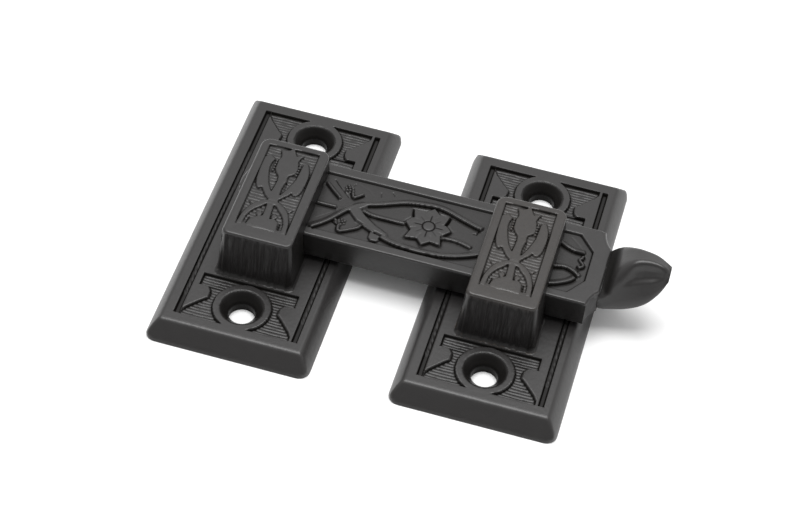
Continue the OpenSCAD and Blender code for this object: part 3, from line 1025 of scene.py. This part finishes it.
def bar_values(obj):
    """Painted shade and grime in the hollows, painted shade on the sunk ground, in the lever's root and on the
    bar's near face.
    """
    p = coordinates(obj)
    u, v, z = p[:, 0] - PIVOT[0], p[:, 1] - PIVOT[1], p[:, 2]
    along = HollowShade(bar_relief, (2.0, -8.0), (54.5, 8.0))
    on_top = (u > 2) & (u < 54.5) & (np.abs(v) < 8) & (z > BAR_TOP - 0.9)
    hollow = np.where(on_top, along.at(u, v), 0)
    # Painted shade, with some grime, in the corner where the lever rises from the bar's end.
    saddle = (u > BAR_REACH + 0.01) * (1 - step((u - BAR_REACH - 1.0) / 1.5))
    saddle = saddle * step((z - BAR_Z - 3.4) / 1.2) * step((v + 4.9) / 0.8)
    # Painted shade along the flower's creases and round its button.
    crease, _, ring = flower_lines(u - FLOWER_AT[0], v - FLOWER_AT[1])
    hollow = np.maximum(hollow, on_top * np.maximum(0.9 * crease, ring))
    give(obj, "hollow", np.maximum(hollow, 0.75 * saddle))
    # Painted shade on the bar's sunk field: the deeper it lies, the darker.
    sunk = inside(u, v, np.array(field_outline())) & (z > BAR_TOP - 1)
    give(obj, "sunk_shade", np.where(sunk, np.clip((BAR_TOP - 0.12 - z) / 0.5, 0, 1), 0))
    front = step((-BAR_HALF_W + 0.6 - v) / 0.4) * step((BAR_TOP - 0.2 - z) / 0.4)
    give(obj, "shade", 1.5 * front * (u < BAR_REACH - 1))
    give(obj, "rubbed", np.zeros(len(p)))


# ---- materials


def set_range(node, *limits):
    """Sets what a map-range node maps from and to."""
    for key, given in zip(("From Min", "From Max", "To Min", "To Max"), limits):
        node.inputs[key].default_value = given


class Nodes:
    """A short way to add and join shader nodes."""

    def __init__(self, name):
        self.material = bpy.data.materials.new(name)
        self.material.use_nodes = True
        self.tree = self.material.node_tree
        self.shader = self.tree.nodes["Principled BSDF"]

    def add(self, kind, **settings):
        node = self.tree.nodes.new(kind)
        for key, value in settings.items():
            setattr(node, key, value)
        return node

    def join(self, out, into):
        self.tree.links.new(out, into)

    def noise(self, scale, detail, rough=0.6):
        where = self.add("ShaderNodeTexCoord")
        node = self.add("ShaderNodeTexNoise")
        node.inputs["Scale"].default_value = scale
        node.inputs["Detail"].default_value = detail
        node.inputs["Roughness"].default_value = rough
        self.join(where.outputs["Object"], node.inputs["Vector"])
        return node.outputs["Fac"]

    def value(self, name):
        node = self.add("ShaderNodeAttribute", attribute_name=name)
        return node.outputs["Fac"]

    def math(self, operation, a, b):
        node = self.add("ShaderNodeMath", operation=operation)
        for socket, given in zip(node.inputs, (a, b)):
            if isinstance(given, (int, float)):
                socket.default_value = given
            else:
                self.join(given, socket)
        return node.outputs[0]

    def spread(self, source, low, high, to_low, to_high):
        node = self.add("ShaderNodeMapRange")
        set_range(node, low, high, to_low, to_high)
        self.join(source, node.inputs["Value"])
        return node.outputs["Result"]

    def mix(self, amount, first, second):
        node = self.add("ShaderNodeMix", data_type="RGBA")
        self.join(amount, node.inputs["Factor"])
        for socket, given in zip((node.inputs[6], node.inputs[7]), (first, second)):
            if isinstance(given, tuple):
                socket.default_value = (*given, 1)
            else:
                self.join(given, socket)
        return node.outputs[2]

    def bump(self, height, distance):
        node = self.add("ShaderNodeBump")
        node.inputs["Strength"].default_value = 0.5
        node.inputs["Distance"].default_value = distance
        self.join(height, node.inputs["Height"])
        return node.outputs["Normal"]


def less(n, shine, source, share):
    """The shine, lessened by a share of a value."""
    return n.math("SUBTRACT", shine, n.math("MULTIPLY", source, share))


def cast_metal(name, worn):
    """Blackened casting: grainy skin, rubbed on its edges, with painted shade and grime that darken its hollows,
    and painted shade on sunk ground and shaded places.
    """
    n = Nodes(name)
    mottle = n.spread(n.noise(420.0, 4.0), 0.35, 0.68, 0, 1)
    colour = n.mix(mottle, tuple(c * 0.92 for c in FACE), FACE)
    edges = n.add("ShaderNodeNewGeometry").outputs["Pointiness"]
    patches = n.spread(n.noise(2600.0, 5.0, 0.7), 0.4, 0.66, 0.4, 1)
    rub = n.math("MULTIPLY", n.spread(edges, 0.53, 0.68, 0, 1), patches)
    colour = n.mix(rub, colour, worn)
    colour = n.mix(n.math("MULTIPLY", n.value("rubbed"), patches), colour, worn)
    sunk_shade, shade = n.value("sunk_shade"), n.value("shade")
    # Painted shade: sunk ground, shaded places and hollows are mixed towards the dark tone.
    colour = n.mix(n.spread(sunk_shade, 0.1, 1.0, 0, 0.3), colour, SHADE_AND_GRIME_TONE)
    colour = n.mix(n.spread(shade, 0, 3, 0, 0.9), colour, SHADE_AND_GRIME_TONE)
    hollow_shade_and_grime = n.spread(n.value("hollow"), 0.12, 0.85, 0, 0.95)
    n.join(n.mix(hollow_shade_and_grime, colour, SHADE_AND_GRIME_TONE), n.shader.inputs["Base Color"])
    gloss = less(n, n.spread(n.noise(1500.0, 3.0), 0.3, 0.7, 0.32, 0.37), rub, 0.1)
    gloss = n.math("ADD", gloss, n.math("MULTIPLY", hollow_shade_and_grime, 0.3))
    n.join(gloss, n.shader.inputs["Roughness"])
    # The painted shade also lowers the specular level in those places.
    shine = less(n, less(n, less(n, SHINE, hollow_shade_and_grime, 0.5), shade, 0.12), sunk_shade, 0.14)
    n.join(shine, n.shader.inputs["Specular IOR Level"])
    n.join(n.bump(n.noise(1500.0, 4.0), 0.00005), n.shader.inputs["Normal"])
    n.shader.inputs["Metallic"].default_value = 0.0
    return n.material


def turned_metal(name, tones, rough):
    """Machined metal with faint turning marks and stains."""
    n = Nodes(name)
    stain = n.spread(n.noise(650.0, 5.0, 0.7), 0.36, 0.7, 0, 1)
    n.join(n.mix(stain, *tones), n.shader.inputs["Base Color"])
    n.join(n.spread(stain, 0, 1, rough, rough + 0.22), n.shader.inputs["Roughness"])
    where = n.add("ShaderNodeTexCoord")
    shift = n.add("ShaderNodeVectorMath", operation="SUBTRACT")
    shift.inputs[1].default_value = (PIVOT[0] * MM, PIVOT[1] * MM, 0)
    n.join(where.outputs["Object"], shift.inputs[0])
    marks = n.add("ShaderNodeTexWave", wave_type="RINGS", rings_direction="Z")
    marks.inputs["Scale"].default_value = 900.0
    marks.inputs["Distortion"].default_value = 1.2
    n.join(shift.outputs[0], marks.inputs["Vector"])
    n.join(n.bump(marks.outputs["Fac"], 0.00001), n.shader.inputs["Normal"])
    n.shader.inputs["Metallic"].default_value = 1.0
    return n.material


def paint_cad(node, material):
    """Gives a carried-over CAD node its finished material."""
    mesh = frame["nodes"][node].data
    mesh.materials.clear()
    mesh.materials.append(material)


# ---- stage


def floor_material():
    """Pale matt paper with a very faint grain."""
    n = Nodes("paper")
    tone = n.spread(n.noise(60.0, 3.0), 0.3, 0.7, 0, 1)
    n.join(n.mix(tone, *PAPER), n.shader.inputs["Base Color"])
    n.shader.inputs["Roughness"].default_value = 0.9
    n.shader.inputs["Specular IOR Level"].default_value = 0.1
    return n.material


def make_floor():
    """A wide pale floor just under the plates."""
    half, z = 1500, -0.02
    corners = [(-half, -half, z), (half, -half, z), (half, half, z), (-half, half, z)]
    floor = make("floor", corners, [[0, 1, 2, 3]])
    floor.data.materials.append(floor_material())


def make_lights():
    """White surroundings, brighter towards the back, and one large soft lamp."""
    world = bpy.data.worlds.new("studio")
    bpy.context.scene.world = world
    world.use_nodes = True
    tree = world.node_tree
    back = tree.nodes["Background"]
    back.inputs["Color"].default_value = (1, 1, 1, 1)
    where = tree.nodes.new("ShaderNodeTexCoord")
    split = tree.nodes.new("ShaderNodeSeparateXYZ")
    tree.links.new(where.outputs["Generated"], split.inputs[0])
    ramp = tree.nodes.new("ShaderNodeMapRange")
    set_range(ramp, -0.8, 0.7, WORLD_FRONT, WORLD_BACK)
    tree.links.new(split.outputs["Y"], ramp.inputs["Value"])
    tree.links.new(ramp.outputs["Result"], back.inputs["Strength"])
    lamp = bpy.data.lights.new("softbox", "AREA")
    lamp.shape = "RECTANGLE"
    lamp.size, lamp.size_y = LAMP_SIZE[0] * MM, LAMP_SIZE[1] * MM
    lamp.energy = LAMP_POWER
    holder = bpy.data.objects.new("softbox", lamp)
    holder.location = LAMP_AT * MM
    aim = LAMP_AIM - LAMP_AT
    holder.rotation_mode = "QUATERNION"
    holder.rotation_quaternion = aim.to_track_quat("-Z", "Y")
    bpy.context.scene.collection.objects.link(holder)


def make_camera():
    """The view: from the front right, about 49 degrees down."""
    data = bpy.data.cameras.new("camera")
    data.sensor_width = 36
    data.lens = CAMERA_LENS
    data.clip_start, data.clip_end = 0.02, 10
    camera = bpy.data.objects.new("camera", data)
    bpy.context.scene.collection.objects.link(camera)
    up = CAMERA_BACK.cross(CAMERA_RIGHT)
    turn = Matrix((CAMERA_RIGHT, up, CAMERA_BACK)).transposed().to_4x4()
    turn.translation = CAMERA_AT * MM
    camera.matrix_world = turn
    bpy.context.scene.camera = camera


def build_plates():
    """Both castings share one shape. The keeper's hook is more rubbed."""
    pivot = casting("pivot_casting", 0.0)
    keeper = bpy.data.objects.new("keeper_casting", pivot.data.copy())
    bpy.context.scene.collection.objects.link(keeper)
    keeper.data.transform(Matrix.Translation((PITCH * MM, 0, 0)))
    cut_pivot_seat(pivot)
    plate_values(pivot, 0.0, 0.0)
    plate_values(keeper, PITCH, KEEPER_RUB)
    metal = cast_metal("blackened_plate", WORN)
    worn = cast_metal("blackened_keeper", WARM)
    finish_piece(pivot, "pivot_casting", "pivot", "pivot_plate", metal)
    finish_piece(keeper, "keeper_casting", "keeper", "keeper_plate", worn)


def cut_pivot_seat(obj):
    """Cuts the screw's seat and bore from the back, and its tapped hole in the arm."""
    seat = [(SHANK_R, PLATE_T + 1), (SHANK_R, 1.6), (SEAT_R, 0.0), (SEAT_R, -1)]
    combine(obj, turned("seat", seat, PIVOT[:2]), "DIFFERENCE")
    tapped = [(TAPPED_R, ARM_Z + 2), (TAPPED_R, ARM_Z - 1)]
    combine(obj, turned("tapped", tapped, PIVOT[:2]), "DIFFERENCE")


def build_bar():
    """The swinging bar."""
    bar = bar_solid("bar_casting")
    bar_values(bar)
    metal = cast_metal("blackened_bar", WORN)
    finish_piece(bar, "bar_casting", "bar", "shutter_bar", metal)


def main():
    bpy.context.scene.view_settings.view_transform = "Standard"
    make_camera()
    make_lights()
    make_floor()
    build_plates()
    build_bar()
    paint_cad("pivot_screw", turned_metal("screw_metal", STEEL, 0.34))
    paint_cad("pivot_washer", turned_metal("washer_metal", BRASS, 0.36))


main()
